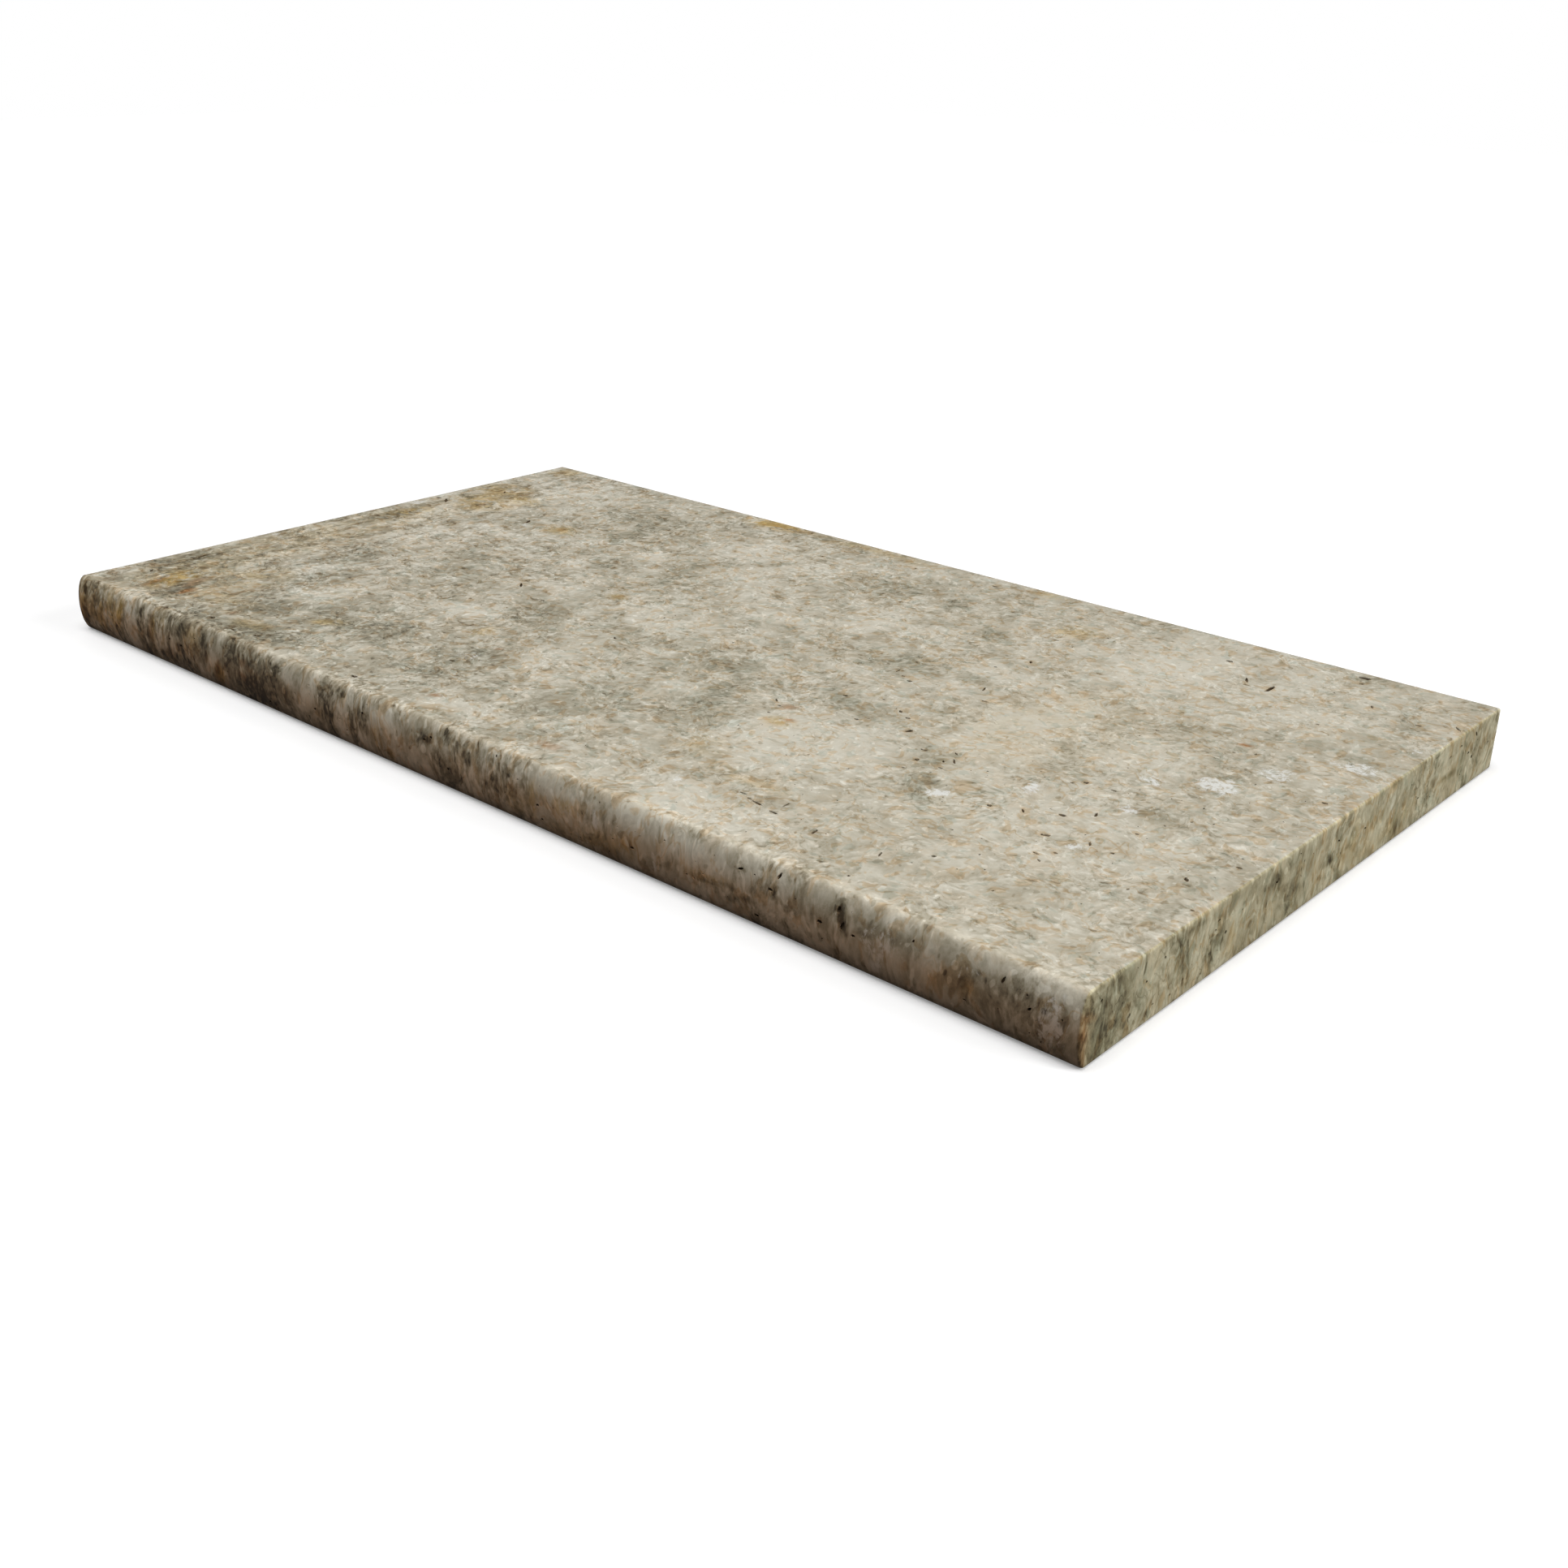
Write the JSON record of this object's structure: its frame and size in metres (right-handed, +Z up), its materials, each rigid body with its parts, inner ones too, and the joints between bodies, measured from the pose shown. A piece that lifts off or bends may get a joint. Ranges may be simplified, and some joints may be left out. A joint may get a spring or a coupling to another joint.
{
  "type": "stone bullnose coping",
  "caption": "Flat natural stone slab with one long rounded edge, laid on top of a pool, wall or step edge to cap it and give it a smooth nose.",
  "frame": {"origin": "middle of the bed, the flat underside that the stone is laid on", "axes": "+X along the coping, +Y from the rounded nose to the sawn back, +Z up out of the top face"},
  "size_m": [0.61, 0.335, 0.0285],
  "materials": {
    "stone": "honed silver travertine, cream and grey with open pits, satin"
  },
  "bodies": {
    "root": {"coping_stone": "stone"}
  },
  "joints": []
}
